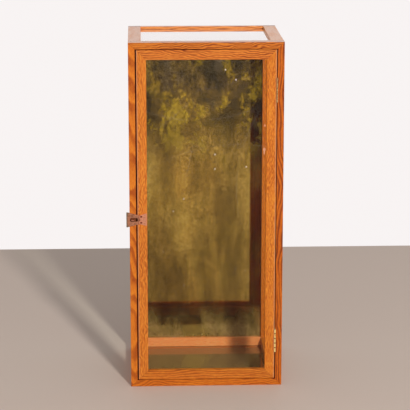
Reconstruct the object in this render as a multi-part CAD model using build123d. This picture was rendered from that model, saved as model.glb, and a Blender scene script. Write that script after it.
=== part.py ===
from build123d import *
from math import atan2, cos, degrees, pi
import os

# Free-standing display cabinet. A softwood case is glazed at the top, the base and both sides, and
# has an aged mirror at the back. A glazed door is set flush into the front, hung on two brass butt
# hinges at its right edge and held by a copper hasp and staple at its left edge.
#
# Millimetres, X to the right, Y to the back, Z up. The pieces are drawn with the case centred on
# X = 0, its front face at Y = 0 and its underside at Z = 0. When they are written, they move so that
# the origin is under the middle of the box of the whole object, on the floor.

# Case
height = 1000.0
width = 435.0
depth = 360.0
stock = 36.0             # side of the square case members
face_width = 19.0        # what a front member shows beside the door
back_thickness = 19.0    # thickness of the frame that holds the mirror
arris = 1.0              # rounding of the timber's long edges

# Door
door_thickness = 18.5
door_member = 28.0
gap_left = 3.0
gap_right = 2.0
gap_top = 1.5
gap_bottom = 1.5
stop_clearance = 0.5     # between the back of the closed door and its stop

# Panes set in grooves
pane = 4.0
top_recess = 8.0         # from the top of the case down to the glass
base_recess = 6.0        # from the floor up to the glass
side_recess = 8.0        # from the side of the case in to the glass
groove_depth = 6.0
pane_fit = 0.15          # between the glass and each wall of its groove
pane_edge = 1.0          # from the edge of the glass to the bottom of its groove

# Door pane and its beads
door_pane = 3.0
door_lap = 8.0           # width of the rebate behind the door's sight edge
bead_depth = 8.0
bead_round = 5.0
door_pane_edge = 0.8     # from the edge of the glass to the side of its rebate

# Mirror, its backing board and the flat pointed sprigs that hold them
mirror = 4.0
board = 3.0
board_recess = 1.5       # from the back of the case to the board
back_lap = 6.0           # width of the rebate round the mirror
back_edge = 0.3          # from the edge of the mirror to the side of its rebate
sprig_thickness = 0.8
sprig_width = 7.0
sprig_length = 11.0
sprig_show = 4.0         # how far a sprig stands out over the board
sprig_fit = 0.05
side_sprigs = 4
end_sprigs = 2

# Butt hinges
hinge_length = 70.0
hinge_from_end = 100.0   # from the top or the underside of the case to the nearer end of a hinge
knuckles = 5
knuckle_radius = 2.1
knuckle_clear = 0.3      # from a knuckle to the face of the timber
knuckle_gap = 0.6        # between two knuckles, along the pin
hinge_pin_radius = 1.05
pin_fit = 0.05
leaf = 1.5               # thickness of a hinge leaf
leaf_width = 16.0        # from the front of the case to the back edge of a leaf
leaf_space = 1.0         # between the two leaves of a closed hinge
leaf_fit = 0.1           # round a leaf in its recess
hinge_screws = 3
hinge_screw_margin = 11.0

# Screws
screw_head_radius = 2.6
screw_shank_radius = 1.4
screw_length = 12.0
screw_sides = 12         # screws are drawn with flats, which keeps the model light
screw_fit = 0.1

# Hasp and staple
hasp_height = 497.0      # from the floor to the middle of the hasp
hasp_sheet = 1.5
hasp_axis_inset = 6.0    # from the door's free edge in to the hasp's pin
hasp_knuckle_radius = 1.9
hasp_pin_radius = 0.9
hasp_lift = 0.3          # from the leaf and its knuckle to the timber
hasp_neck = 25.0         # height of both plates at the pin
hasp_leaf_end = 45.0     # height of the leaf at its free end
hasp_plate_end = 37.0    # height of the fixed plate at its far end
hasp_overhang = 9.0      # how far the leaf passes the side of the case
hasp_plate_inset = 1.0   # from the fixed plate to the door's sight edge
hasp_corner = 2.0
slot_height = 11.0
slot_bridge = 1.8        # metal between the slot and the knuckle
slot_reach = 9.0         # from the staple's middle to the far end of the slot
hasp_screw_inset = 5.0   # from the pin to the screws
hasp_screw_pitch = 17.4
staple_wire_radius = 1.3
staple_half_width = 4.0  # from the staple's middle to the axis of a leg
staple_reach = 12.0      # how far the staple stands out of the case
staple_root = 12.0       # how deep its legs go in
staple_fit = 0.05

# Places worked out from the sizes above
left = -width / 2
right = width / 2
back_front = depth - back_thickness
rebate_depth = door_thickness + stop_clearance
inner_right = right - stock
inner_left = -inner_right
door_left = left + face_width + gap_left
door_right = right - face_width - gap_right
door_low = face_width + gap_bottom
door_high = height - face_width - gap_top
door_width = door_right - door_left
door_height = door_high - door_low
door_rebate_depth = door_pane + bead_depth
hinge_x = right - face_width - gap_right / 2
hinge_y = -(knuckle_radius + knuckle_clear)
hasp_x = door_left + hasp_axis_inset
hasp_y = -(hasp_knuckle_radius + hasp_lift)
staple_x = left + face_width / 2
front_reach = max(staple_reach, knuckle_radius - hinge_y, hasp_knuckle_radius - hasp_y)
origin_shift = Pos(hasp_overhang / 2, (front_reach - depth) / 2, 0)


def block(x0, x1, y0, y1, z0, z1):
    """A box given by its limits along the three axes."""
    centre = Pos((x0 + x1) / 2, (y0 + y1) / 2, (z0 + z1) / 2)
    return centre * Box(x1 - x0, y1 - y0, z1 - z0)


def eased(solid, axis):
    """The solid with its edges along one axis rounded like a planed arris."""
    return fillet(solid.edges().filter_by(axis), arris)


def rod(start, direction, length, radius):
    """A round rod from a point along a direction."""
    return extrude(Plane(start, z_dir=direction) * Circle(radius), length)


def mitred_member(section, reach, length):
    """A member along X, its outer side on Z = 0, cut at 45 degrees at both ends."""
    run = extrude(Plane.YZ * section, length / 2, both=True)
    half = length / 2
    outline = Polyline((-half, 0), (half, 0), (half - reach, reach), (reach - half, reach), close=True)
    mitres = extrude(Plane.XZ * make_face(outline), depth, both=True)
    return run & mitres


def mitred_frame(section, reach, low_x, high_x, low_z, high_z):
    """Four mitred members that make an upright frame of the given outer limits."""
    across = mitred_member(section, reach, high_x - low_x)
    upright = mitred_member(section, reach, high_z - low_z)
    mid_x = (low_x + high_x) / 2
    mid_z = (low_z + high_z) / 2
    return {
        "bottom": Pos(mid_x, 0, low_z) * across,
        "top": Pos(mid_x, 0, high_z) * Rot(0, 180, 0) * across,
        "left": Pos(low_x, 0, mid_z) * Rot(0, 90, 0) * upright,
        "right": Pos(high_x, 0, mid_z) * Rot(0, -90, 0) * upright,
    }


def screw(plate, fit=0):
    """A countersunk screw for a plate, its head on Z = 0 and its end down, or the hole for it."""
    head = extrude(RegularPolygon(screw_head_radius + fit, screw_sides), -plate)
    narrowing = (screw_head_radius - screw_shank_radius) * cos(pi / screw_sides)
    slopes = head.faces().filter_by(Axis.Z, reverse=True)
    head = draft(slopes, Plane.XY, -degrees(atan2(narrowing, plate)))
    shank = extrude(RegularPolygon(screw_shank_radius + fit, screw_sides), -(screw_length + fit))
    return head + shank


def holes(places, plate):
    """The holes of the screws that stand at the given places."""
    return Compound([place * screw(plate, screw_fit) for place in places])


def front_frame():
    """The mitred front frame, rebated for the door."""
    outline = Polyline(
        (0, 0),
        (stock, 0),
        (stock, stock),
        (rebate_depth, stock),
        (rebate_depth, face_width),
        (0, face_width),
        close=True,
    )
    section = make_face(outline)
    corners = [v for v in section.vertices() if abs(v.X - rebate_depth) > 0.01 or v.Y > face_width + 0.01]
    section = fillet(corners, arris)
    return mitred_frame(section, stock, left, right, 0, height)


def door_frame():
    """The door's mitred members, with a rebate for the glass at the back."""
    sight = door_member - door_lap
    shoulder = door_thickness - door_rebate_depth
    outline = Polyline(
        (0, 0),
        (door_thickness, 0),
        (door_thickness, sight),
        (shoulder, sight),
        (shoulder, door_member),
        (0, door_member),
        close=True,
    )
    section = make_face(outline)
    corners = [v for v in section.vertices() if v.Y < 0.01 or v.X < 0.01]
    section = fillet(corners, arris)
    return mitred_frame(section, door_member, door_left, door_right, door_low, door_high)


def door_beads():
    """Quarter round beads that hold the door's glass in its rebate."""
    sight = door_member - door_lap
    front = door_thickness - bead_depth
    outline = Polyline(
        (front, 0),
        (door_thickness, 0),
        (door_thickness, door_lap),
        (front, door_lap),
        close=True,
    )
    section = make_face(outline)
    rounded = [v for v in section.vertices() if v.Y > door_lap - 0.01 and v.X > door_thickness - 0.01]
    section = fillet(rounded, bead_round)
    return mitred_frame(
        section, door_lap, door_left + sight, door_right - sight, door_low + sight, door_high - sight
    )


def side_rails():
    """The four square rails that run from the front frame to the back frame."""
    rails = {}
    for level, low in (("top", height - stock), ("base", 0)):
        rails[level + "_left_rail"] = block(left, inner_left, stock, back_front, low, low + stock)
        rails[level + "_right_rail"] = block(inner_right, right, stock, back_front, low, low + stock)
    return {name: eased(rail, Axis.Y) for name, rail in rails.items()}


def back_frame():
    """Two full-height stiles and two rails between them, rebated at the back for the mirror."""
    members = {
        "back_left_stile": eased(block(left, inner_left, back_front, depth, 0, height), Axis.Z),
        "back_right_stile": eased(block(inner_right, right, back_front, depth, 0, height), Axis.Z),
        "back_bottom_rail": eased(block(inner_left, inner_right, back_front, depth, 0, stock), Axis.X),
        "back_top_rail": eased(
            block(inner_left, inner_right, back_front, depth, height - stock, height), Axis.X
        ),
    }
    lap_x = inner_right + back_lap
    lap_z = stock - back_lap
    rebate = block(-lap_x, lap_x, depth - mirror - board - board_recess, depth, lap_z, height - lap_z)
    return {name: member - rebate for name, member in members.items()}


def panes():
    """Glass set in grooves, each with the larger block that its grooves are cut with."""
    reach = groove_depth - pane_edge
    top = height - top_recess
    side = right - side_recess
    limits = {
        "top_glass": (inner_left, inner_right, stock, back_front, top - pane, top),
        "base_glass": (inner_left, inner_right, stock, back_front, base_recess, base_recess + pane),
        "right_glass": (side - pane, side, stock, back_front, stock, height - stock),
        "left_glass": (-side, pane - side, stock, back_front, stock, height - stock),
    }
    glass = {}
    grooves = []
    for name, (x0, x1, y0, y1, z0, z1) in limits.items():
        flat = name in ("top_glass", "base_glass")
        grow_x = 1 if flat else 0
        grow_z = 0 if flat else 1
        glass[name] = block(
            x0 - reach * grow_x, x1 + reach * grow_x,
            y0 - reach, y1 + reach,
            z0 - reach * grow_z, z1 + reach * grow_z,
        )
        room_x = groove_depth * grow_x + pane_fit * grow_z
        room_z = groove_depth * grow_z + pane_fit * grow_x
        grooves.append(block(
            x0 - room_x, x1 + room_x,
            y0 - groove_depth, y1 + groove_depth,
            z0 - room_z, z1 + room_z,
        ))
    return glass, grooves


def back_panels():
    """The mirror and the board behind it."""
    half = inner_right + back_lap - back_edge
    low = stock - back_lap + back_edge
    board_back = depth - board_recess
    mirror_back = board_back - board
    return {
        "back_mirror": block(-half, half, mirror_back - mirror, mirror_back, low, height - low),
        "back_board": block(-half, half, mirror_back, board_back, low, height - low),
    }


def sprigs(fit):
    """Pointed sprigs lying on the board, driven into the sides of the rebate, or the slits for them."""
    half = sprig_width / 2 + fit
    tip = sprig_length - sprig_show + fit
    outline = Polyline((-sprig_show, -half), (tip, 0), (-sprig_show, half), close=True)
    board_back = depth - board_recess
    plane = Plane((0, board_back + sprig_fit - fit, 0), x_dir=(1, 0, 0), z_dir=(0, 1, 0))
    sprig = plane * extrude(make_face(outline), sprig_thickness + 2 * fit)
    lap_x = inner_right + back_lap
    lap_z = stock - back_lap
    span_z = height - 2 * lap_z
    pieces = []
    for index in range(side_sprigs):
        z = lap_z + span_z * (index + 0.5) / side_sprigs
        pieces.append(Pos(lap_x, 0, z) * sprig)
        pieces.append(Pos(-lap_x, 0, z) * Rot(0, 180, 0) * sprig)
    for index in range(end_sprigs):
        x = -lap_x + 2 * lap_x * (index + 0.5) / end_sprigs
        pieces.append(Pos(x, 0, lap_z) * Rot(0, 90, 0) * sprig)
        pieces.append(Pos(x, 0, height - lap_z) * Rot(0, -90, 0) * sprig)
    return pieces


def knuckle_limits(low, index):
    """The lower and upper ends of one hinge knuckle."""
    pitch = hinge_length / knuckles
    return low + index * pitch + knuckle_gap / 2, low + (index + 1) * pitch - knuckle_gap / 2


def hinge_leaf(low, side):
    """A leaf and its knuckles: side is 1 for the case and -1 for the door."""
    near = hinge_x + side * leaf_space / 2
    far = near + side * leaf
    x0 = min(near, far)
    x1 = max(near, far)
    plate_front = hinge_y + knuckle_radius + knuckle_clear
    plate = block(x0, x1, plate_front, leaf_width, low, low + hinge_length)
    first = 0 if side > 0 else 1
    for index in range(first, knuckles, 2):
        z0, z1 = knuckle_limits(low, index)
        plate += rod((hinge_x, hinge_y, z0), (0, 0, 1), z1 - z0, knuckle_radius)
        plate += block(x0, x1, hinge_y, plate_front, z0, z1)
    return plate - rod((hinge_x, hinge_y, low), (0, 0, 1), hinge_length, hinge_pin_radius + pin_fit)


def hinge_recess(low, side):
    """The shallow recess that a leaf lies in."""
    inner = hinge_x
    outer = hinge_x + side * (leaf_space / 2 + leaf)
    return block(
        min(inner, outer), max(inner, outer),
        -1, leaf_width + leaf_fit,
        low - leaf_fit, low + hinge_length + leaf_fit,
    )


def hinge_screw_places(low, side):
    """Where a leaf's screws stand, heads towards the other leaf."""
    usable = hinge_length - 2 * hinge_screw_margin
    places = []
    for index in range(hinge_screws):
        z = low + hinge_screw_margin + usable * index / (hinge_screws - 1)
        face = (hinge_x + side * leaf_space / 2, leaf_width / 2, z)
        places.append(Plane(face, z_dir=(-side, 0, 0)).location)
    return places


def hasp_outline(near_x, end_x, near_height, end_height):
    """A plate that widens away from the pin, with its far corners rounded."""
    outline = Polyline(
        (near_x, -near_height / 2),
        (end_x, -end_height / 2),
        (end_x, end_height / 2),
        (near_x, near_height / 2),
        close=True,
    )
    face = make_face(outline)
    corners = [v for v in face.vertices() if abs(v.X - end_x) < 0.01]
    return fillet(corners, hasp_corner)


def hasp_body(outline, back_y, side, has_middle):
    """A flat hasp plate with its knuckles: side is 1 for the door's plate and -1 for the leaf."""
    face = Plane((0, back_y, hasp_height), x_dir=(1, 0, 0), z_dir=(0, -1, 0))
    plate = extrude(face * outline, hasp_sheet)
    third = hasp_neck / 3
    low = hasp_height - hasp_neck / 2
    clear = hasp_knuckle_radius + hasp_lift
    for index in range(3):
        z0 = low + index * third + (hasp_lift / 2 if index else 0)
        z1 = low + (index + 1) * third - (hasp_lift / 2 if index < 2 else 0)
        if (index == 1) == has_middle:
            plate += rod((hasp_x, hasp_y, z0), (0, 0, 1), z1 - z0, hasp_knuckle_radius)
        else:
            reach = hasp_x + side * clear
            z0 -= hasp_lift
            z1 += hasp_lift
            plate -= block(min(hasp_x, reach), max(hasp_x, reach), hasp_y - 5, 5, z0, z1)
    return plate - rod((hasp_x, hasp_y, low), (0, 0, 1), hasp_neck, hasp_pin_radius + pin_fit)


def hasp_plate():
    """The fixed plate on the door."""
    end_x = door_left + door_member - hasp_plate_inset
    return hasp_body(hasp_outline(hasp_x, end_x, hasp_neck, hasp_plate_end), 0, 1, False)


def hasp_leaf():
    """The slotted leaf that closes over the staple."""
    outline = hasp_outline(hasp_x, left - hasp_overhang, hasp_neck, hasp_leaf_end)
    slot_left = staple_x - slot_reach
    slot_right = hasp_x - hasp_knuckle_radius - slot_bridge
    slot = Pos((slot_left + slot_right) / 2, 0) * SlotOverall(slot_right - slot_left, slot_height)
    return hasp_body(outline - slot, -hasp_lift, -1, True)


def hasp_screw_places():
    """Where the two screws of the fixed plate stand."""
    places = []
    for up in (-0.5, 0.5):
        face = (hasp_x + hasp_screw_inset, -hasp_sheet, hasp_height + up * hasp_screw_pitch)
        places.append(Plane(face, z_dir=(0, -1, 0)).location)
    return places


def staple_solid(radius):
    """A staple of eight-sided bar with a round bow, its legs in the face of the case."""
    bow_y = staple_wire_radius + staple_half_width - staple_reach
    leg_plane = Plane((staple_x, bow_y, hasp_height), x_dir=(1, 0, 0), z_dir=(0, 1, 0))
    bar = Pos(staple_half_width, 0) * RegularPolygon(radius, 8)
    leg = extrude(bar, staple_root - bow_y)
    bow = revolve(bar, Axis.Y, revolution_arc=180)
    return leg_plane * (leg + bow + Rot(0, 0, 180) * leg)


def cut_all(pieces, cutters):
    """Every piece with every cutter taken out of it."""
    tool = Compound(cutters)
    return {name: piece - tool for name, piece in pieces.items()}


def write(name, shape):
    """One STEP file for one node, moved to the object's own origin."""
    solids = shape if isinstance(shape, list) else shape.solids()
    moved = [origin_shift * solid for solid in solids]
    export_step(moved[0] if len(moved) == 1 else Compound(children=moved), "parts/" + name + ".step")


hinge_levels = {"lower": hinge_from_end, "upper": height - hinge_from_end - hinge_length}
case_screw_places = [p for low in hinge_levels.values() for p in hinge_screw_places(low, 1)]
door_screw_places = [p for low in hinge_levels.values() for p in hinge_screw_places(low, -1)]
case_recesses = [hinge_recess(low, 1) for low in hinge_levels.values()]
door_recesses = [hinge_recess(low, -1) for low in hinge_levels.values()]

nodes = {}

front = front_frame()
case_members = {
    "front_bottom_rail": front["bottom"],
    "front_top_rail": front["top"],
    "front_left_post": front["left"],
    "front_right_post": front["right"],
}
case_members.update(side_rails())
case_members.update(back_frame())
glass_panes, pane_grooves = panes()
case_members = cut_all(case_members, pane_grooves)
for member in ("back_left_stile", "back_right_stile", "back_top_rail", "back_bottom_rail"):
    case_members[member] -= Compound(sprigs(sprig_fit))
case_members["front_left_post"] -= staple_solid(staple_wire_radius + staple_fit)
case_members["front_right_post"] -= Compound(case_recesses)
case_members["front_right_post"] -= holes(case_screw_places, leaf)
nodes.update(case_members)
nodes.update(glass_panes)
nodes.update(back_panels())
nodes["back_sprigs"] = sprigs(0)

door = door_frame()
door["right"] -= Compound(door_recesses)
door["right"] -= holes(door_screw_places, leaf)
door["left"] -= holes(hasp_screw_places(), hasp_sheet)
nodes["door_bottom_rail"] = door["bottom"]
nodes["door_top_rail"] = door["top"]
nodes["door_left_stile"] = door["left"]
nodes["door_right_stile"] = door["right"]
for place, bead in door_beads().items():
    nodes["door_" + place + "_bead"] = bead
pane_inset = door_member - door_lap + door_pane_edge
pane_front = door_thickness - door_rebate_depth
nodes["door_glass"] = block(
    door_left + pane_inset, door_right - pane_inset,
    pane_front, pane_front + door_pane,
    door_low + pane_inset, door_high - pane_inset,
)

for level, low in hinge_levels.items():
    nodes[level + "_hinge_case_leaf"] = hinge_leaf(low, 1) - holes(hinge_screw_places(low, 1), leaf)
    nodes[level + "_hinge_door_leaf"] = hinge_leaf(low, -1) - holes(hinge_screw_places(low, -1), leaf)
    nodes[level + "_hinge_pin"] = rod((hinge_x, hinge_y, low), (0, 0, 1), hinge_length, hinge_pin_radius)
nodes["hinge_case_screws"] = [place * screw(leaf) for place in case_screw_places]
nodes["hinge_door_screws"] = [place * screw(leaf) for place in door_screw_places]

hasp_low = (hasp_x, hasp_y, hasp_height - hasp_neck / 2)
nodes["hasp_plate"] = hasp_plate() - holes(hasp_screw_places(), hasp_sheet)
nodes["hasp_leaf"] = hasp_leaf()
nodes["hasp_pin"] = rod(hasp_low, (0, 0, 1), hasp_neck, hasp_pin_radius)
nodes["hasp_screws"] = [place * screw(hasp_sheet) for place in hasp_screw_places()]
nodes["staple"] = staple_solid(staple_wire_radius)

os.makedirs("parts", exist_ok=True)
for name, shape in nodes.items():
    write(name, shape)
print("origin shift", origin_shift.position)
print("door hinge axis", origin_shift * Pos(hinge_x, hinge_y, 0))
print("hasp hinge axis", origin_shift * Pos(hasp_x, hasp_y, hasp_height))
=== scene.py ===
import math

import bmesh
import bpy
from mathutils import Matrix, Vector


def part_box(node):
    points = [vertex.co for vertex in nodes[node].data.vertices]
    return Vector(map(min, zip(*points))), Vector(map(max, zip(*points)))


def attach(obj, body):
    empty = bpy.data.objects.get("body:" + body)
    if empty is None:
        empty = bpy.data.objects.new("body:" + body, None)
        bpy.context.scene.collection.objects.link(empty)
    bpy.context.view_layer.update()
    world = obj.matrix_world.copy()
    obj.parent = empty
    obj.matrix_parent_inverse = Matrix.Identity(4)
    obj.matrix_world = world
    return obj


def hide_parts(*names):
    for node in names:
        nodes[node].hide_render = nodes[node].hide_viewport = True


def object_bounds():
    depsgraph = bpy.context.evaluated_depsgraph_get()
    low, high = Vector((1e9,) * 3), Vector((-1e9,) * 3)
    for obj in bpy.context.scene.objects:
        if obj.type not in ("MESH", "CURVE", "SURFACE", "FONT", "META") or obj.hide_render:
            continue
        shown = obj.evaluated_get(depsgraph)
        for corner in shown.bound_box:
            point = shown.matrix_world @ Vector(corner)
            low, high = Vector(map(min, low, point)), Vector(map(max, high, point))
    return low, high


# The dressed display cabinet: timber, glass, aged mirror, brass and copper, on a pale floor.
# Metres, in the frame's own axes: X to the right, Y to the back, Z up.

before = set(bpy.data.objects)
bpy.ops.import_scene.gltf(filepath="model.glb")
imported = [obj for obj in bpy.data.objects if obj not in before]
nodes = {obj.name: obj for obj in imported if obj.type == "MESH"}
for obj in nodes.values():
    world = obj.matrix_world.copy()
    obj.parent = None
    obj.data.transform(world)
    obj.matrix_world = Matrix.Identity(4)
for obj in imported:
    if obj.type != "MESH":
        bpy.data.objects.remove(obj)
cad_low, cad_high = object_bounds()

# Camera, fitted to the straight edges of the cabinet in the photograph
CAMERA_PLACE = (-0.1829, -4.9265, 1.6628)
CAMERA_PITCH = 13.307     # degrees below level
CAMERA_YAW = -2.210       # degrees, positive to the left
LENS = 151.8
SENSOR = 36.0

# Light
KEY_AZIMUTH = 15.0        # degrees to the right of the front axis, from a shadow inside the case
KEY_DISTANCE = 7.0
KEY_HEIGHT = 4.0
KEY_SIZE = 0.60
KEY_POWER = 410.0
FILL = 0.38               # the world's strength on surfaces; it is 1 where it is seen

# Floor
FLOOR_FRONT = -14.0
FLOOR_BACK = 1.40
FLOOR_HALF_WIDTH = 9.0
FLOOR_COLOR = (0.66, 0.535, 0.455, 1)
BACKDROP = (0.94, 0.90, 0.895, 1)


class Graph:
    """One material and the means to add linked nodes to it."""

    def __init__(self, name):
        self.material = bpy.data.materials.new(name)
        self.material.use_nodes = True
        self.tree = self.material.node_tree
        self.tree.nodes.clear()
        self.output = self.tree.nodes.new("ShaderNodeOutputMaterial")
        self.shader = self.add("BsdfPrincipled")
        self.show(self.shader.outputs[0])

    def show(self, socket):
        self.tree.links.new(socket, self.output.inputs["Surface"])

    def set(self, node, name, value):
        socket = node.inputs[name]
        if isinstance(value, bpy.types.NodeSocket):
            self.tree.links.new(value, socket)
        else:
            socket.default_value = value

    def add(self, kind, inputs=None, **settings):
        node = self.tree.nodes.new("ShaderNode" + kind)
        for name, value in settings.items():
            setattr(node, name, value)
        for name, value in (inputs or {}).items():
            self.set(node, name, value)
        return node

    def principled(self, **values):
        for name, value in values.items():
            self.set(self.shader, name.replace("_", " "), value)

    def place(self, scale=(1, 1, 1), turn=(0, 0, 0), shift=(0, 0, 0)):
        """Coordinates on the piece, in metres, turned, shifted and then stretched."""
        vector = self.add("TexCoord").outputs["Object"]
        radians = [math.radians(angle) for angle in turn]
        turned = self.add("Mapping", {"Vector": vector, "Rotation": radians, "Location": shift})
        return self.add("Mapping", {"Vector": turned.outputs[0], "Scale": scale}).outputs[0]

    def noise(self, vector, detail=2.0, roughness=0.5, distortion=0.0):
        node = self.add("TexNoise", {
            "Vector": vector, "Scale": 1.0, "Detail": detail,
            "Roughness": roughness, "Distortion": distortion,
        })
        return node.outputs[0]

    def math(self, operation, *values, clamp=False):
        node = self.add("Math", operation=operation, use_clamp=clamp)
        for index, value in enumerate(values):
            self.set(node, index, value)
        return node.outputs[0]

    def ramp(self, factor, *stops, smooth=False):
        node = self.add("ValToRGB", {"Fac": factor})
        if smooth:
            node.color_ramp.interpolation = "EASE"
        elements = node.color_ramp.elements
        while len(elements) < len(stops):
            elements.new(1.0)
        for element, (position, color) in zip(elements, stops):
            element.position = position
            element.color = color if isinstance(color, tuple) else (color, color, color, 1)
        return node.outputs[0]

    def mix(self, factor, first, second, blend="MIX"):
        node = self.add("Mix", data_type="RGBA", blend_type=blend)
        self.set(node, 0, factor)
        self.set(node, 6, first)
        self.set(node, 7, second)
        return node.outputs[2]

    def split(self, vector):
        return self.add("SeparateXYZ", {"Vector": vector}).outputs

    def bump(self, height, strength, distance):
        return self.add("Bump", {"Height": height, "Strength": strength, "Distance": distance}).outputs[0]

    def from_ellipse(self, place, middle, half_sizes):
        """The square of the distance from a middle, across and up. It is 1 on the ellipse."""
        from_x = self.math("DIVIDE", self.math("SUBTRACT", place[0], middle[0]), half_sizes[0])
        from_z = self.math("DIVIDE", self.math("SUBTRACT", place[2], middle[1]), half_sizes[1])
        return self.math("ADD", self.math("MULTIPLY", from_x, from_x), self.math("MULTIPLY", from_z, from_z))


def srgb(red, green, blue):
    """A colour written as display values from 0 to 255."""
    linear = [((v / 255 + 0.055) / 1.055) ** 2.4 if v > 10 else v / 255 / 12.92 for v in (red, green, blue)]
    return (*linear, 1)


def dress(node, material):
    """Gives a CAD node its material in every slot."""
    mesh = nodes[node].data
    if not mesh.materials:
        mesh.materials.append(material)
    for index in range(len(mesh.materials)):
        mesh.materials[index] = material


# Timber

TURN_TO_GRAIN = {"X": (0, -90, 0), "Y": (90, 0, 0), "Z": (0, 0, 0)}
AXIS_INDEX = {"X": 0, "Y": 1, "Z": 2}
SEED_STEP = (0.13, 0.09, 0.31)      # how far one whole seed moves the grain
RING_SLOPE = 0.35                   # how far a ring strays across per metre from face to back
PATCHES = (30, 30, 8)               # how often per metre, twice across the grain and then along it
PORES = (420, 420, 90)
CLOUDS = (20, 20, 6)
WIPED = (70, 70, 12)

DOOR_MEMBERS = ("door_left_stile", "door_right_stile", "door_top_rail", "door_bottom_rail")
DOOR_LOW = [min(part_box(node)[0][axis] for node in DOOR_MEMBERS) for axis in range(3)]
DOOR_HIGH = [max(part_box(node)[1][axis] for node in DOOR_MEMBERS) for axis in range(3)]

END_GRAIN = srgb(110, 74, 52)
END_FACING = 0.9                    # how squarely a face looks along the grain where its end shows
SEAM = srgb(120, 56, 18)
SEAM_WIDTH = 0.0008                 # of the dark line in a mitre

# Painted shade, with some dirt, multiplied over the timber inside the gap round the door
GAP_SHADE_AND_DIRT = (0.33, 0.07, 0.03, 1)
GAP_REACH = 0.0045                  # of the painted shade and dirt to both sides of the door's edges
GAP_FRONT = 0.0001                  # from the door's face back to where the painted shade and dirt begin
UNSHADED_ARRIS = 0.0014                # how much further back it begins at the hinges, per metre up
GAP_BACK = 0.0012                   # from the door's back to where the painted shade and dirt end

RUBBED = srgb(206, 140, 100)
WORN_WIDTH = 0.0045                 # of the rubbed strip along an arris

# Painted shade, with some stain, round the slot of the hasp's leaf
HASP_SHADE_AND_STAIN = srgb(84, 40, 20)
HASP_SHADE_SHIFT = 0.003            # to the right of the staple
HASP_SHADE_HALF = (0.019, 0.011)    # half width and half height

CHIPPED = srgb(240, 168, 134)
CHIPS = (                           # place across and up, then half width and half height
    ((0.1923, 0.6273), (0.0042, 0.0055)),
    ((0.1923, 0.6193), (0.0020, 0.0080)),
    ((0.1933, 0.7007), (0.0030, 0.0035)),
)
CHIP_END = 1.4                      # the square of the distance plus the noise at a chip's edge

# Pale dust on top of the cabinet, with painted sheen in it
DUST_AND_SHEEN = srgb(250, 218, 202)
TOP_DUST_AND_SHEEN = 0.62                     # how much of the colour on top is dust and painted sheen
DUST_AND_SHEEN_REACH = 0.01                   # how far down from the top of the cabinet the dust and painted sheen lie


def timber(name, along, tone, late, spacing=0.006, lean=0.0, wave=(30, 9, 5.0), flame=(110, 26, 2.0),
           contrast=0.8, speckle=0.4, patchy=0.5, soft=False, seed=0.0, mitre=None, shaded_and_stained=False,
           chipped=False, worn=False):
    """Softwood with its grain along one axis, with early wood in one tone and late wood in another.
    spacing, lean and soft are those of year_rings, and wave and flame are its two bends. contrast is how
    plain the rings are, patchy how much that varies, and speckle how plain the pores are. seed moves the
    whole pattern. mitre is that of mitre_seam, chipped and worn add the marks of in_chips and worn_arris,
    and stained adds the painted shade and stain of behind_hasp."""
    g = Graph(name)
    turn = TURN_TO_GRAIN[along]
    shift = tuple(step * seed for step in SEED_STEP)
    band = year_rings(g, turn, shift, spacing, lean, (wave, flame), soft)
    patch = g.noise(g.place(PATCHES, turn, shift), detail=3)
    strength = g.math("MULTIPLY", g.ramp(patch, (0.34, 1 - patchy), (0.58, 1.0)), contrast)
    color = g.mix(g.math("MULTIPLY", band, strength), tone, late)
    pores = g.noise(g.place(PORES, turn, shift), detail=3, roughness=0.7)
    color = g.mix(speckle, color, g.ramp(pores, (0.32, 0.12), (0.66, 0.88)), "SOFT_LIGHT")
    cloud = g.noise(g.place(CLOUDS, turn, shift), detail=3)
    color = g.mix(0.45, color, g.ramp(cloud, (0.3, 0.34), (0.72, 0.66)), "SOFT_LIGHT")
    normal = g.split(g.add("TexCoord").outputs["Normal"])
    ends = g.math("GREATER_THAN", g.math("ABSOLUTE", normal[AXIS_INDEX[along]]), END_FACING)
    color = g.mix(ends, color, g.mix(0.8, color, END_GRAIN, "MULTIPLY"))
    place = g.split(g.add("TexCoord").outputs["Object"])
    if mitre:
        color = g.mix(mitre_seam(g, place, along, mitre), color, SEAM)
    if worn:
        color = g.mix(worn_arris(g, place), color, RUBBED)
    # painted shade with some dirt inside the door's gap
    color = g.mix(gap_shade_and_dirt(g, place), color, g.mix(1.0, color, GAP_SHADE_AND_DIRT, "MULTIPLY"))
    # painted shade with some stain round the hasp's slot
    if shaded_and_stained:
        color = g.mix(behind_hasp(g, place), color, HASP_SHADE_AND_STAIN)
    if chipped:
        color = g.mix(in_chips(g, place), color, CHIPPED)
    # dust and painted sheen on top
    color = g.mix(top_dust_and_sheen(g, place, normal, turn, shift), color, DUST_AND_SHEEN)
    rough = g.ramp(pores, (0.2, 0.30), (0.8, 0.46))
    relief = g.math("MULTIPLY_ADD", band, -0.5, pores)
    g.principled(Base_Color=color, Roughness=rough, Normal=g.bump(relief, 0.2, 0.0003))
    g.shader.inputs["Specular IOR Level"].default_value = 0.32
    return g.material


def year_rings(g, turn, shift, spacing, lean, bends, soft):
    """The year rings on a face, from 0 in early wood to 1 in late wood. spacing is the distance between
    two of them and lean how far they stray across per metre along. Each of the bends has how often it
    turns per metre across and along, and how many rings wide it is. soft rings have no sharp side."""
    across, deep, run = g.split(g.place(turn=turn))
    lines = g.math("MULTIPLY_ADD", run, lean / spacing, g.math("DIVIDE", across, spacing))
    lines = g.math("MULTIPLY_ADD", deep, RING_SLOPE / spacing, lines)
    for often_across, often_along, strength in bends:
        bend = g.noise(g.place((often_across, often_across, often_along), turn, shift), detail=1)
        lines = g.math("MULTIPLY_ADD", bend, 2 * strength, lines)
    year = g.math("FRACT", lines)
    if soft:
        return g.ramp(year, (0.0, 0.0), (0.30, 0.25), (0.62, 1.0), (0.80, 1.0), (1.0, 0.0), smooth=True)
    return g.ramp(year, (0.0, 0.3), (0.14, 0.0), (0.40, 0.08), (0.66, 0.75), (0.86, 1.0), (1.0, 0.3))


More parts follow.
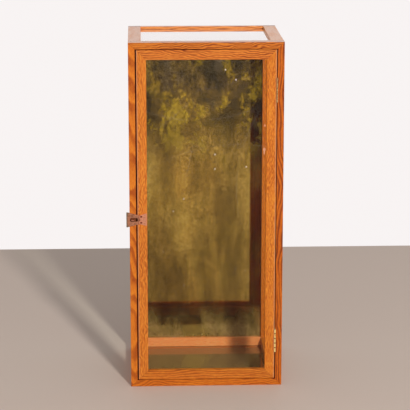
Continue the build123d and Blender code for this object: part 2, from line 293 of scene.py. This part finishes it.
def mitre_seam(g, place, along, mitre):
    """How dark a member is along its two mitres, from 0 to 0.6. mitre is the outer side's axis and place,
    and the places of the two ends along the grain."""
    side, outer, low, high = mitre
    from_side = g.math("ABSOLUTE", g.math("SUBTRACT", place[AXIS_INDEX[side]], outer))
    from_low = g.math("SUBTRACT", place[AXIS_INDEX[along]], low)
    from_high = g.math("SUBTRACT", high, place[AXIS_INDEX[along]])
    from_mitre = g.math("SUBTRACT", g.math("MINIMUM", from_low, from_high), from_side)
    return g.ramp(g.math("DIVIDE", from_mitre, SEAM_WIDTH), (0.0, 0.6), (1.0, 0.0))


def worn_arris(g, place):
    """How far the finish is rubbed off the upright outer arrises of the door, from 0 to 0.75."""
    from_left = g.math("SUBTRACT", place[0], DOOR_LOW[0])
    from_right = g.math("SUBTRACT", DOOR_HIGH[0], place[0])
    from_edge = g.math("DIVIDE", g.math("MINIMUM", from_left, from_right), WORN_WIDTH)
    rubbed = g.ramp(g.noise(g.place((40, 40, 26)), detail=3), (0.34, 0.35), (0.56, 1.0))
    return g.math("MULTIPLY", g.ramp(from_edge, (0.40, 0.75), (1.0, 0.0)), rubbed)


def gap_shade_and_dirt(g, place):
    """1 on the timber inside the gap beside and over the closed door, which gets painted shade with some
    dirt, and 0 elsewhere. The gap under the door is nearly shut in the photograph and gets none."""
    near = 0.0
    inside = 1.0
    for axis in (AXIS_INDEX["X"], AXIS_INDEX["Z"]):
        middle = (DOOR_LOW[axis] + DOOR_HIGH[axis]) / 2
        half = (DOOR_HIGH[axis] - DOOR_LOW[axis]) / 2
        from_middle = g.math("SUBTRACT", place[axis], middle)
        if axis == AXIS_INDEX["X"]:
            from_middle = g.math("ABSOLUTE", from_middle)
        near = g.math("MAXIMUM", g.math("GREATER_THAN", from_middle, half - GAP_REACH), near)
        inside = g.math("MULTIPLY", g.math("LESS_THAN", from_middle, half + GAP_REACH), inside)
    on_hinge_side = g.math("GREATER_THAN", place[0], 0.0)
    unshaded_arris = g.math("MULTIPLY", g.math("MULTIPLY", place[2], UNSHADED_ARRIS), on_hinge_side)
    behind_face = g.math("GREATER_THAN", place[1], g.math("ADD", unshaded_arris, DOOR_LOW[1] + GAP_FRONT))
    before_back = g.math("LESS_THAN", place[1], DOOR_HIGH[1] + GAP_BACK)
    deep = g.math("MULTIPLY", behind_face, before_back)
    return g.math("MULTIPLY", g.math("MULTIPLY", near, inside), deep)


def behind_hasp(g, place):
    """The painted shade and stain on the timber behind the slot of the hasp's leaf, from 0.9 in its middle
    to 0.
    """
    low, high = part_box("staple")
    middle = ((low[0] + high[0]) / 2 + HASP_SHADE_SHIFT, (low[2] + high[2]) / 2)
    return g.ramp(g.from_ellipse(place, middle, HASP_SHADE_HALF), (0.45, 0.9), (1.0, 0.0))


def in_chips(g, place):
    """1 on the pale places where the finish has chipped off the right back stile, and 0 elsewhere."""
    edge = g.noise(g.place((260, 260, 160)), detail=2)
    total = 0.0
    for middle, half_sizes in CHIPS:
        away = g.math("ADD", g.from_ellipse(place, middle, half_sizes), edge)
        total = g.math("MAXIMUM", g.math("LESS_THAN", away, CHIP_END), total)
    return total


def top_dust_and_sheen(g, place, normal, turn, shift):
    """How much pale dust and painted sheen lie on the cabinet's top, from 0 to TOP_DUST_AND_SHEEN. Places in
    it are half wiped.
    """
    on_top = g.math("GREATER_THAN", place[2], cad_high[2] - DUST_AND_SHEEN_REACH)
    dust = g.math("MULTIPLY", g.ramp(normal[2], (0.80, 0.0), (0.98, TOP_DUST_AND_SHEEN)), on_top)
    wiped = g.noise(g.place(WIPED, turn, shift), detail=4, roughness=0.65)
    return g.math("MULTIPLY", dust, g.ramp(wiped, (0.34, 0.45), (0.58, 1.0)))


def mitred(node, along, side):
    """The mitre values of a member: its outer side's axis and place, and its ends along the grain."""
    low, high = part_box(node)
    axis = AXIS_INDEX[side]
    middle = (cad_low[axis] + cad_high[axis]) / 2
    outer = low[axis] if (low[axis] + high[axis]) / 2 < middle else high[axis]
    end = AXIS_INDEX[along]
    return side, outer, low[end], high[end]


HONEY = srgb(213, 121, 37)
AMBER = srgb(212, 114, 26)
PALE = srgb(232, 142, 62)
DARK_LATE = srgb(126, 46, 8)
SOFT_LATE = srgb(160, 70, 14)

# side is the axis across a mitred member, on which its outer edge lies
TIMBER = {
    "front_left_post": dict(along="Z", side="X", tone=srgb(218, 120, 30), late=srgb(152, 60, 8), soft=True,
                            spacing=0.030, lean=0.50, wave=(16, 5, 1.8), flame=(40, 12, 0.6),
                            contrast=0.78, shaded_and_stained=True, seed=3.1),
    "front_right_post": dict(along="Z", side="X", tone=srgb(202, 100, 16), late=srgb(112, 38, 8),
                             spacing=0.0085, wave=(12, 5, 3.8), flame=(40, 16, 0.7), contrast=0.95,
                             seed=5.3),
    "front_top_rail": dict(along="X", side="Z", tone=HONEY, late=DARK_LATE, spacing=0.0060, lean=0.10,
                           wave=(16, 9, 3.2), flame=(60, 26, 1.4), contrast=1.0, seed=7.7),
    "front_bottom_rail": dict(along="X", side="Z", tone=AMBER, late=srgb(140, 56, 8), spacing=0.0080,
                              wave=(12, 8, 4.5), flame=(40, 26, 0.9), contrast=0.70, seed=2.4),
    "door_left_stile": dict(along="Z", side="X", tone=srgb(218, 126, 42), late=srgb(146, 60, 12),
                            spacing=0.0066, wave=(14, 8, 3.6), flame=(80, 38, 1.5), contrast=0.72,
                            speckle=0.6, patchy=0.8, shaded_and_stained=True, worn=True, seed=1.2),
    "door_right_stile": dict(along="Z", side="X", tone=HONEY, late=SOFT_LATE, spacing=0.0068,
                             wave=(14, 7, 3.6), flame=(90, 42, 1.5), contrast=0.62, speckle=0.9,
                             patchy=0.9, worn=True, seed=8.2),
    "door_top_rail": dict(along="X", side="Z", tone=srgb(220, 128, 48), late=srgb(126, 40, 8),
                          spacing=0.0064, lean=-0.12, wave=(16, 9, 3.4), flame=(60, 25, 1.4),
                          contrast=1.0, seed=4.6),
    "door_bottom_rail": dict(along="X", side="Z", tone=HONEY, late=srgb(136, 52, 8), spacing=0.0088,
                             wave=(10, 5, 5.0), flame=(40, 18, 0.8), contrast=0.85, patchy=0.6, seed=6.5),
    "top_left_rail": dict(along="Y", tone=PALE, late=SOFT_LATE, contrast=0.5, seed=9.1),
    "top_right_rail": dict(along="Y", tone=srgb(244, 160, 84), late=SOFT_LATE, contrast=0.4, seed=9.8),
    "base_left_rail": dict(along="Y", tone=HONEY, late=SOFT_LATE, contrast=0.6, seed=10.4),
    "base_right_rail": dict(along="Y", tone=HONEY, late=SOFT_LATE, contrast=0.6, seed=11.3),
    "back_left_stile": dict(along="Z", tone=AMBER, late=SOFT_LATE, contrast=0.7, seed=12.6),
    "back_right_stile": dict(along="Z", tone=AMBER, late=SOFT_LATE, contrast=0.7, chipped=True,
                             seed=13.7),
    "back_top_rail": dict(along="X", tone=srgb(240, 150, 80), late=srgb(150, 66, 24), spacing=0.0070,
                          wave=(14, 4, 3.4), flame=(60, 14, 1.0), contrast=0.85, seed=14.2),
    # back_bottom_rail is paler than the other members: painted light on the rail inside the case
    "back_bottom_rail": dict(along="X", tone=srgb(255, 162, 96), late=srgb(238, 134, 62), contrast=0.5,
                             seed=15.9),
    "door_left_bead": dict(along="Z", side="X", tone=AMBER, late=SOFT_LATE, contrast=0.5, seed=16.1),
    "door_right_bead": dict(along="Z", side="X", tone=AMBER, late=SOFT_LATE, contrast=0.5, seed=17.3),
    "door_top_bead": dict(along="X", side="Z", tone=AMBER, late=SOFT_LATE, contrast=0.5, seed=18.4),
    "door_bottom_bead": dict(along="X", side="Z", tone=AMBER, late=SOFT_LATE, contrast=0.5, seed=19.6),
}
for node, look in TIMBER.items():
    side = look.pop("side", None)
    mitre = mitred(node, look["along"], side) if side else None
    dress(node, timber("timber_" + node, mitre=mitre, **look))


# Glass

CLEAR_GREEN = (0.955, 0.98, 0.955, 1)
# brown tint of the base pane, strong enough to paint the shade on the floor seen through it
SMOKY_AND_SHADE = (0.68, 0.59, 0.42, 1)
CLEAR_WHITE = (0.985, 0.99, 0.97, 1)
FILM = srgb(240, 232, 226)
FILM_LEAST = 0.003        # of the film of dust where a pane is seen square on
FILM_POWER = 7.0          # how late the film comes up as the angle gets low

HAIR_ARCS = (             # centre across and up, and radius
    (0.09, 0.24, 0.47),
    (-0.34, 1.10, 0.40),
    (0.52, 0.58, 0.43),
    (-0.10, 1.52, 0.66),
    (-0.02, 1.20, 0.42),
    (-0.60, 0.78, 0.57),
)
HAIR_REACH = 0.0004           # from a scratch's middle to its edge
HAIR_STRENGTH = 0.35
SCRATCH_ZONE = (0.45, 0.70)   # heights between which all marks come up to their full strength
SPECKS = 34                   # cells per metre, each with a speck or none
SPECK_CHOICE = 0.96           # the cells with a random value above it have one
SPECK_STRENGTH = 2.0


def glass(name, tint, dust, ior=1.5, sheen=0.0, marks=0.0):
    """Clear glass that lets lamp light through. dust is a film that shows at a low angle, sheen the
    reflection at a low angle that a film of dirt adds, and marks the strength of fine scratches."""
    g = Graph(name)
    g.principled(Base_Color=tint, Roughness=0.0)
    g.shader.inputs["IOR"].default_value = ior
    g.shader.inputs["Transmission Weight"].default_value = 1.0
    path = g.add("LightPath")
    lets_light = g.math("MAXIMUM", path.outputs["Is Shadow Ray"], path.outputs["Is Diffuse Ray"])
    clear = g.add("BsdfTransparent", {"Color": tint})
    pane = g.add("MixShader", {0: lets_light, 1: g.shader.outputs[0], 2: clear.outputs[0]})
    low_angle = g.add("LayerWeight", {"Blend": 0.5}).outputs["Facing"]
    if sheen:
        polish = g.add("BsdfGlossy", {"Color": (1, 1, 1, 1), "Roughness": 0.03})
        amount = g.ramp(low_angle, (0.42, 0.0), (0.78, sheen), (1.0, 1.0))
        pane = g.add("MixShader", {0: amount, 1: pane.outputs[0], 2: polish.outputs[0]})
    film = g.add("BsdfDiffuse", {"Color": FILM})
    cover = g.math("POWER", low_angle, FILM_POWER)
    smears = g.ramp(g.noise(g.place((11, 7, 9)), detail=5, roughness=0.6), (0.3, 0.8), (0.75, 1.0))
    cover = g.math("MULTIPLY", g.math("MULTIPLY_ADD", cover, dust, FILM_LEAST), smears)
    if marks:
        cover = g.math("ADD", cover, g.math("MULTIPLY", scratches(g), marks), clamp=True)
    g.show(g.add("MixShader", {0: cover, 1: pane.outputs[0], 2: film.outputs[0]}).outputs[0])
    return g.material


def scratches(g):
    """Long thin arcs, broken here and there, and small specks, most of them in the upper half of an
    upright pane."""
    across, _, height = g.split(g.place())
    upper = g.ramp(height, (SCRATCH_ZONE[0], 0.15), (SCRATCH_ZONE[1], 1.0))
    broken = g.ramp(g.noise(g.place((9, 9, 9)), detail=4), (0.46, 0.0), (0.60, 1.0))
    total = 0.0
    for middle, level, radius in HAIR_ARCS:
        from_x = g.math("SUBTRACT", across, middle)
        from_z = g.math("SUBTRACT", height, level)
        reach = g.math("SQRT", g.math("MULTIPLY_ADD", from_x, from_x, g.math("MULTIPLY", from_z, from_z)))
        away = g.math("ABSOLUTE", g.math("SUBTRACT", reach, radius))
        hair = g.math("MULTIPLY_ADD", away, -1 / HAIR_REACH, 1.0, clamp=True)
        total = g.math("MULTIPLY_ADD", hair, g.math("MULTIPLY", broken, HAIR_STRENGTH), total)
    upright = g.place((SPECKS, SPECKS, SPECKS), (90, 0, 0))
    cells = g.add("TexVoronoi", {"Vector": upright, "Scale": 1.0}, voronoi_dimensions="2D")
    speck = g.ramp(cells.outputs["Distance"], (0.0, 1.0), (0.035, 1.0), (0.065, 0.0))
    chosen = g.math("GREATER_THAN", g.split(cells.outputs["Color"])[0], SPECK_CHOICE)
    total = g.math("MULTIPLY_ADD", speck, g.math("MULTIPLY", chosen, SPECK_STRENGTH), total)
    return g.math("MULTIPLY", total, upper)


side_pane = glass("side_pane", CLEAR_GREEN, 0.3)
base_pane = glass("base_pane", SMOKY_AND_SHADE, 0.05)
top_pane = glass("top_pane", CLEAR_GREEN, 0.25, sheen=0.82)
door_pane = glass("door_pane", CLEAR_WHITE, 0.02, ior=1.15, marks=0.5)
for node in ("left_glass", "right_glass"):
    dress(node, side_pane)
dress("base_glass", base_pane)
dress("top_glass", top_pane)
dress("door_glass", door_pane)


# Aged mirror and its backing

SHADE_WIDTH = 0.5             # over which the mirror's painted shade is laid out, with its middle at X = 0
CLOUD_ZONE = (0.52, 0.78)     # heights between which its clouds set in
VEIL_ZONE = (0.70, 0.86)      # heights between which its blind veil sets in
FOOT_ZONE = (0.07, 0.15)      # heights between which its blind foot ends


def aged_mirror():
    """Old mirror glass whose silvering has turned gold brown in clouds, most of all near the top, and
    has gone blind in patches there and along its foot."""
    g = Graph("aged_mirror")
    across, _, height = g.split(g.place())
    upper = g.ramp(height, (CLOUD_ZONE[0], 0.15), (CLOUD_ZONE[1], 1.0), smooth=True)
    # painted shade: the mirror is darker towards both sides, most of all right of the middle
    rightwards = g.math("MULTIPLY_ADD", across, 1 / SHADE_WIDTH, 0.5)
    shade = g.ramp(rightwards, (0.28, 0.80), (0.45, 1.0), (0.58, 1.0), (0.68, 0.70), (0.76, 0.80),
                   smooth=True)
    clouds = g.noise(g.place((8, 8, 7), shift=(0.3, 0.0, 0.1)), detail=5, roughness=0.6, distortion=0.3)
    bloom = g.noise(g.place((13, 13, 9), shift=(0.9, 0.1, 0.65)), detail=8, roughness=0.74)
    smoke = g.noise(g.place((12, 12, 7), shift=(0.1, 0.6, 0.3)), detail=6, roughness=0.66)
    streaks = g.noise(g.place((20, 20, 5), shift=(0.2, 0.0, 0.4)), detail=4)
    grain = g.noise(g.place((150, 150, 150)), detail=3, roughness=0.7)

    worn = g.ramp(clouds, (0.34, srgb(46, 40, 20)), (0.50, srgb(88, 72, 33)), (0.66, srgb(132, 108, 48)))
    worn = g.mix(g.ramp(bloom, (0.40, 0.8), (0.50, 0.0)), worn, srgb(44, 40, 22))
    calm = g.ramp(streaks, (0.34, srgb(152, 125, 59)), (0.66, srgb(219, 185, 92)))
    calm = g.mix(0.5, calm, g.ramp(clouds, (0.34, 0.24), (0.66, 0.76)), "SOFT_LIGHT")
    color = g.mix(1.0, g.mix(upper, calm, worn), shade, "MULTIPLY")

    gold = g.math("MULTIPLY", g.ramp(bloom, (0.51, 0.0), (0.56, 0.6), (0.70, 1.0)), upper)
    grey = g.math("MULTIPLY", g.ramp(smoke, (0.52, 0.0), (0.68, 0.7)), upper)
    foot = g.ramp(height, (FOOT_ZONE[0], 0.9), (FOOT_ZONE[1], 0.0))
    foot = g.math("MULTIPLY", foot, g.ramp(smoke, (0.36, 0.1), (0.60, 1.0)))
    veil = g.ramp(height, (VEIL_ZONE[0], 0.0), (VEIL_ZONE[1], 0.6), smooth=True)
    color = g.mix(grey, color, srgb(112, 100, 76))
    color = g.mix(gold, color, srgb(166, 140, 30))
    color = g.mix(foot, color, srgb(158, 128, 76))
    crust = g.math("MULTIPLY_ADD", upper, 0.30, 0.36)
    color = g.mix(crust, color, g.ramp(grain, (0.36, 0.08), (0.64, 0.92)), "SOFT_LIGHT")

    blind = g.math("MAXIMUM", g.math("MAXIMUM", gold, grey), g.math("MAXIMUM", foot, veil))
    g.principled(Base_Color=color, Metallic=g.math("MULTIPLY_ADD", blind, -0.85, 1.0), Roughness=0.04)
    g.shader.inputs["Specular IOR Level"].default_value = 0.2
    return g.material


def hardboard():
    """Bare brown board with fibres in it, clouded, and with damp stains that have darker rims."""
    g = Graph("hardboard")
    felt = g.noise(g.place((700, 700, 700)), detail=4, roughness=0.7)
    fibres = g.noise(g.place((90, 90, 260), (0, 25, 0)), detail=4, roughness=0.7)
    cloud = g.noise(g.place((7, 7, 5)), detail=5, roughness=0.6)
    stain = g.noise(g.place((4, 4, 3), shift=(0.4, 0.0, 0.9)), detail=4, roughness=0.55)
    color = g.mix(0.6, srgb(132, 96, 66), g.ramp(felt, (0.3, 0.35), (0.7, 0.65)), "SOFT_LIGHT")
    color = g.mix(0.7, color, g.ramp(fibres, (0.34, 0.25), (0.66, 0.75)), "SOFT_LIGHT")
    color = g.mix(0.8, color, g.ramp(cloud, (0.3, 0.2), (0.7, 0.8)), "SOFT_LIGHT")
    rims = g.ramp(stain, (0.54, 0.0), (0.575, 0.55), (0.60, 0.18), (1.0, 0.25))
    color = g.mix(rims, color, srgb(70, 46, 30))
    g.principled(Base_Color=color, Roughness=0.8, Normal=g.bump(felt, 0.3, 0.0002))
    return g.material


dress("back_mirror", aged_mirror())
dress("back_board", hardboard())


# Metal

KNUCKLES = 5
BARREL_WALL = 0.00105     # from the pin's back to the back of the knuckles round it
KNUCKLE_DIRT = srgb(92, 44, 18)
LEAF_BLOOM = srgb(136, 124, 104)
CORNER_BLOOM = 0.12       # how much further in the bloom reaches at a corner, of the leaf's length


def metal(name, color, tarnish, amount, roughness, scale=160.0, shine=0.9, extra=None):
    """Worn metal: tarnish in clouds over the bare colour, and fine scratches. scale is how many clouds
    there are per metre. extra is a function that gives a mask and the colour of the dirt there."""
    g = Graph(name)
    clouds = g.noise(g.place((scale, scale, scale)), detail=4, roughness=0.65, distortion=0.6)
    cover = g.ramp(clouds, (0.62 - amount, 0.0), (0.70, 1.0))
    base = g.mix(cover, color, tarnish)
    if extra:
        mask, dirt = extra(g)
        base = g.mix(mask, base, dirt)
    hairs = g.noise(g.place((2600, 2600, 300)), detail=2)
    rough = g.math("MULTIPLY_ADD", clouds, 0.35, roughness - 0.15)
    g.principled(Base_Color=base, Roughness=rough, Normal=g.bump(hairs, 0.12, 0.0002))
    g.shader.inputs["Metallic"].default_value = shine
    return g.material


def knuckle_dirt(g):
    """Dark dirt where one knuckle of the lower hinge meets the next."""
    low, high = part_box("lower_hinge_pin")
    place = g.split(g.place())
    along = g.math("MULTIPLY", g.math("SUBTRACT", place[2], low[2]), KNUCKLES / (high[2] - low[2]))
    from_middle = g.math("ABSOLUTE", g.math("SUBTRACT", g.math("FRACT", along), 0.5))
    on_barrel = g.math("LESS_THAN", place[1], high[1] + BARREL_WALL)
    return g.math("MULTIPLY", g.ramp(from_middle, (0.39, 0.0), (0.44, 1.0)), on_barrel), KNUCKLE_DIRT


def free_end_bloom(g):
    """Grey green bloom along the free end of the hasp's leaf, widest at its corners."""
    low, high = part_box("hasp_leaf")
    place = g.split(g.place())
    inwards = g.math("DIVIDE", g.math("SUBTRACT", place[0], low[0]), high[0] - low[0])
    away = g.math("ABSOLUTE", g.math("SUBTRACT", place[2], (low[2] + high[2]) / 2))
    corner = g.math("DIVIDE", away, (high[2] - low[2]) / 2)
    reach = g.math("SUBTRACT", inwards, g.math("MULTIPLY", g.math("POWER", corner, 3.0), CORNER_BLOOM))
    return g.ramp(reach, (0.0, 0.85), (0.16, 0.0)), LEAF_BLOOM


# The lower hinge and the hinge screws get pale, mostly matt brass: a painted glint over tarnished brass
glint_painted_brass = metal("glint_painted_brass", srgb(255, 230, 150), srgb(226, 176, 84), 0.06, 0.34,
                     shine=0.3, extra=knuckle_dirt)
dull_brass = metal("dull_brass", srgb(236, 200, 136), srgb(120, 62, 24), 0.36, 0.40, 340.0, shine=0.5)
copper = metal("copper_plate", srgb(236, 166, 132), srgb(196, 128, 96), 0.12, 0.42)
bronze = metal("copper_leaf", srgb(206, 144, 112), srgb(142, 98, 74), 0.16, 0.46, extra=free_end_bloom)
dark_screw = metal("dark_screw", srgb(154, 76, 54), srgb(100, 46, 32), 0.2, 0.5, 500.0)
wire_metal = metal("staple_wire", srgb(206, 142, 112), srgb(130, 84, 60), 0.1, 0.45, 300.0)
steel = metal("plain_steel", srgb(168, 164, 158), srgb(112, 104, 96), 0.2, 0.45, 300.0)

METAL = {
    "lower_hinge_case_leaf": glint_painted_brass,
    "lower_hinge_door_leaf": glint_painted_brass,
    "lower_hinge_pin": glint_painted_brass,
    "upper_hinge_case_leaf": dull_brass,
    "upper_hinge_door_leaf": dull_brass,
    "upper_hinge_pin": dull_brass,
    "hinge_case_screws": glint_painted_brass,
    "hinge_door_screws": glint_painted_brass,
    "hasp_plate": copper,
    "hasp_leaf": bronze,
    "hasp_pin": bronze,
    "hasp_screws": dark_screw,
    "staple": wire_metal,
    "back_sprigs": steel,
}
for node, material in METAL.items():
    dress(node, material)


# Round screws and staple, over the many-sided ones of the frame

SIDES = 32
ROUND_SHARE = 0.98        # of the many-sided piece's reach, so that the round one clears the same hole
HEAD_DEPTH = 0.0015
SHANK_RADIUS = 0.00135
SCREW_POINT = 0.0025
SLOT_WIDTH = 0.0006
SLOT_DEPTH = 0.0008
SLOT_TURN = 67.0          # degrees from one screw's slot to the next one's
STAPLE_POINT = 0.004
BOW_STEPS = 16
SHARP_ANGLE = 30          # degrees, above which an edge of a smooth piece stays sharp
SAME_PLACE = 1e-7         # between two vertices that are one


def solid_boxes(node):
    """The lowest and highest corner of each separate solid of a CAD node, from the floor up."""
    shape = bmesh.new()
    shape.from_mesh(nodes[node].data)
    bmesh.ops.remove_doubles(shape, verts=shape.verts, dist=SAME_PLACE)
    waiting = set(shape.verts)
    boxes = []
    while waiting:
        reached = [waiting.pop()]
        for vertex in reached:
            for edge in vertex.link_edges:
                other = edge.other_vert(vertex)
                if other in waiting:
                    waiting.remove(other)
                    reached.append(other)
        low = Vector([min(vertex.co[axis] for vertex in reached) for axis in range(3)])
        high = Vector([max(vertex.co[axis] for vertex in reached) for axis in range(3)])
        boxes.append((low, high))
    shape.free()
    return sorted(boxes, key=lambda box: (round(box[0].z, 5), round(box[0].x, 5)))


def circle():
    """The points of a circle of radius 1."""
    angles = [2 * math.pi * index / SIDES for index in range(SIDES)]
    return [(math.cos(angle), math.sin(angle)) for angle in angles]


def joined_rings(shape, rings):
    """Closes a tube over rings of vertices, where a ring of one vertex is a point."""
    for first, second in zip(rings, rings[1:]):
        for index in range(SIDES):
            after = (index + 1) % SIDES
            corners = (
                first[index % len(first)],
                first[after % len(first)],
                second[after % len(second)],
                second[index % len(second)],
            )
            shape.faces.new(dict.fromkeys(corners))
    bmesh.ops.recalc_face_normals(shape, faces=shape.faces)


def mesh_of(shape, name):
    mesh = bpy.data.meshes.new(name)
    shape.to_mesh(mesh)
    shape.free()
    return mesh


def slotted_screw(radius, length):
    """A countersunk wood screw with its slotted head on Z = 0 and its point down."""
    profile = (
        (radius, 0.0),
        (SHANK_RADIUS, -HEAD_DEPTH),
        (SHANK_RADIUS, SCREW_POINT - length),
    )
    shape = bmesh.new()
    rings = []
    for reach, height in profile:
        rings.append([shape.verts.new((reach * x, reach * y, height)) for x, y in circle()])
    shape.faces.new(rings[0])
    rings.append([shape.verts.new((0, 0, -length))])
    joined_rings(shape, rings)
    screw = bpy.data.objects.new("screw", mesh_of(shape, "screw"))
    slot = bmesh.new()
    size = Matrix.Diagonal((4 * radius, SLOT_WIDTH, 2 * SLOT_DEPTH, 1))
    bmesh.ops.create_cube(slot, size=1, matrix=size)
    cutter = bpy.data.objects.new("slot", mesh_of(slot, "slot"))
    for piece in (screw, cutter):
        bpy.context.collection.objects.link(piece)
    cut = screw.modifiers.new("slot", "BOOLEAN")
    cut.object = cutter
    cut.operation = "DIFFERENCE"
    ready = screw.evaluated_get(bpy.context.evaluated_depsgraph_get())
    slotted = bpy.data.meshes.new_from_object(ready)
    for piece in (screw, cutter):
        bpy.data.objects.remove(piece)
    return slotted


def new_piece(name, mesh, body, material, node):
    """A smooth piece that stands for a CAD node."""
    mesh.materials.clear()
    mesh.materials.append(material)
    mesh.shade_smooth()
    mesh.set_sharp_from_angle(angle=math.radians(SHARP_ANGLE))
    piece = bpy.data.objects.new(name, mesh)
    bpy.context.collection.objects.link(piece)
    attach(piece, body)
    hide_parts(node)
    return piece


def round_screws(node, body, heads, material):
    """Slotted screws in place of a node's many-sided ones. heads is the direction that they face."""
    heads = Vector(heads)
    axis = max(range(3), key=lambda index: abs(heads[index]))
    across = (axis + 1) % 3
    boxes = solid_boxes(node)
    size = boxes[0][1] - boxes[0][0]
    pattern = slotted_screw(size[across] / 2 * ROUND_SHARE, size[axis])
    upright = heads.to_track_quat("Z", "Y").to_matrix().to_4x4()
    shape = bmesh.new()
    for index, (low, high) in enumerate(boxes):
        place = (low + high) / 2 + heads * size[axis] / 2
        turn = Matrix.Rotation(math.radians(SLOT_TURN * index), 4, "Z")
        one = pattern.copy()
        one.transform(Matrix.Translation(place) @ upright @ turn)
        shape.from_mesh(one)
        bpy.data.meshes.remove(one)
    new_piece("round_" + node, mesh_of(shape, "round_" + node), body, material, node)


def round_staple():
    """The staple as round wire with pointed legs, along the middle of the eight-sided bar."""
    low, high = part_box("staple")
    bar = high.z - low.z
    wire = bar / 2 * ROUND_SHARE
    middle = (low + high) / 2
    half = (high.x - low.x - bar) / 2
    bow = low.y + (high.x - low.x) / 2
    root = high.y - STAPLE_POINT
    route = [(Vector((middle.x + half, root, middle.z)), 0.0)]
    for step in range(BOW_STEPS + 1):
        angle = math.pi * step / BOW_STEPS
        outwards = Vector((math.cos(angle), -math.sin(angle), 0))
        route.append((Vector((middle.x, bow, middle.z)) + half * outwards, angle))
    route.append((Vector((middle.x - half, root, middle.z)), math.pi))
    shape = bmesh.new()
    rings = [[shape.verts.new((middle.x + half, high.y, middle.z))]]
    for place, angle in route:
        outwards = Vector((math.cos(angle), -math.sin(angle), 0))
        upwards = Vector((0, 0, 1))
        rings.append([shape.verts.new(place + wire * (x * outwards + y * upwards)) for x, y in circle()])
    rings.append([shape.verts.new((middle.x - half, high.y, middle.z))])
    joined_rings(shape, rings)
    new_piece("round_staple", mesh_of(shape, "round_staple"), "case", wire_metal, "staple")


round_screws("hinge_case_screws", "case", (-1, 0, 0), glint_painted_brass)
round_screws("hinge_door_screws", "door", (1, 0, 0), glint_painted_brass)
round_screws("hasp_screws", "door", (0, -1, 0), dark_screw)
round_staple()


# Floor, light and camera

def pale_floor():
    mesh = bpy.data.meshes.new("floor")
    corners = [
        (-FLOOR_HALF_WIDTH, FLOOR_FRONT, 0),
        (FLOOR_HALF_WIDTH, FLOOR_FRONT, 0),
        (FLOOR_HALF_WIDTH, FLOOR_BACK, 0),
        (-FLOOR_HALF_WIDTH, FLOOR_BACK, 0),
    ]
    mesh.from_pydata(corners, [], [(0, 1, 2, 3)])
    floor = bpy.data.objects.new("floor", mesh)
    bpy.context.collection.objects.link(floor)
    g = Graph("pale_floor")
    g.principled(Base_Color=FLOOR_COLOR, Roughness=0.7)
    mesh.materials.append(g.material)


def white_world():
    """Soft light from all round, and a pale backdrop where the camera, gloss or glass looks out."""
    world = bpy.data.worlds.new("white_world")
    bpy.context.scene.world = world
    world.use_nodes = True
    tree = world.node_tree
    tree.nodes.clear()
    output = tree.nodes.new("ShaderNodeOutputWorld")
    lighting = tree.nodes.new("ShaderNodeBackground")
    lighting.inputs["Color"].default_value = (1, 1, 1, 1)
    lighting.inputs["Strength"].default_value = FILL
    seen = tree.nodes.new("ShaderNodeBackground")
    seen.inputs["Color"].default_value = BACKDROP
    path = tree.nodes.new("ShaderNodeLightPath")
    looks_out = path.outputs["Is Camera Ray"]
    for ray in ("Is Glossy Ray", "Is Transmission Ray"):
        either = tree.nodes.new("ShaderNodeMath")
        either.operation = "MAXIMUM"
        tree.links.new(looks_out, either.inputs[0])
        tree.links.new(path.outputs[ray], either.inputs[1])
        looks_out = either.outputs[0]
    mix = tree.nodes.new("ShaderNodeMixShader")
    tree.links.new(looks_out, mix.inputs[0])
    tree.links.new(lighting.outputs[0], mix.inputs[1])
    tree.links.new(seen.outputs[0], mix.inputs[2])
    tree.links.new(mix.outputs[0], output.inputs["Surface"])


def key_light():
    """A soft lamp in front, aimed at the height of the cabinet's middle."""
    lamp = bpy.data.lights.new("key", "AREA")
    lamp.shape = "DISK"
    lamp.size = KEY_SIZE
    lamp.energy = KEY_POWER
    light = bpy.data.objects.new("key", lamp)
    angle = math.radians(KEY_AZIMUTH)
    light.location = (KEY_DISTANCE * math.sin(angle), -KEY_DISTANCE * math.cos(angle), KEY_HEIGHT)
    down = math.atan2(KEY_DISTANCE, KEY_HEIGHT - (cad_low[2] + cad_high[2]) / 2)
    light.rotation_euler = (down, 0, angle)
    light.visible_glossy = False
    light.visible_transmission = False
    bpy.context.collection.objects.link(light)


def photo_camera():
    data = bpy.data.cameras.new("camera")
    data.lens = LENS
    data.sensor_width = SENSOR
    camera = bpy.data.objects.new("camera", data)
    camera.location = CAMERA_PLACE
    camera.rotation_euler = (math.radians(90 - CAMERA_PITCH), 0, math.radians(CAMERA_YAW))
    bpy.context.collection.objects.link(camera)
    bpy.context.scene.camera = camera


pale_floor()
white_world()
key_light()
photo_camera()
bpy.context.scene.view_settings.view_transform = "Standard"
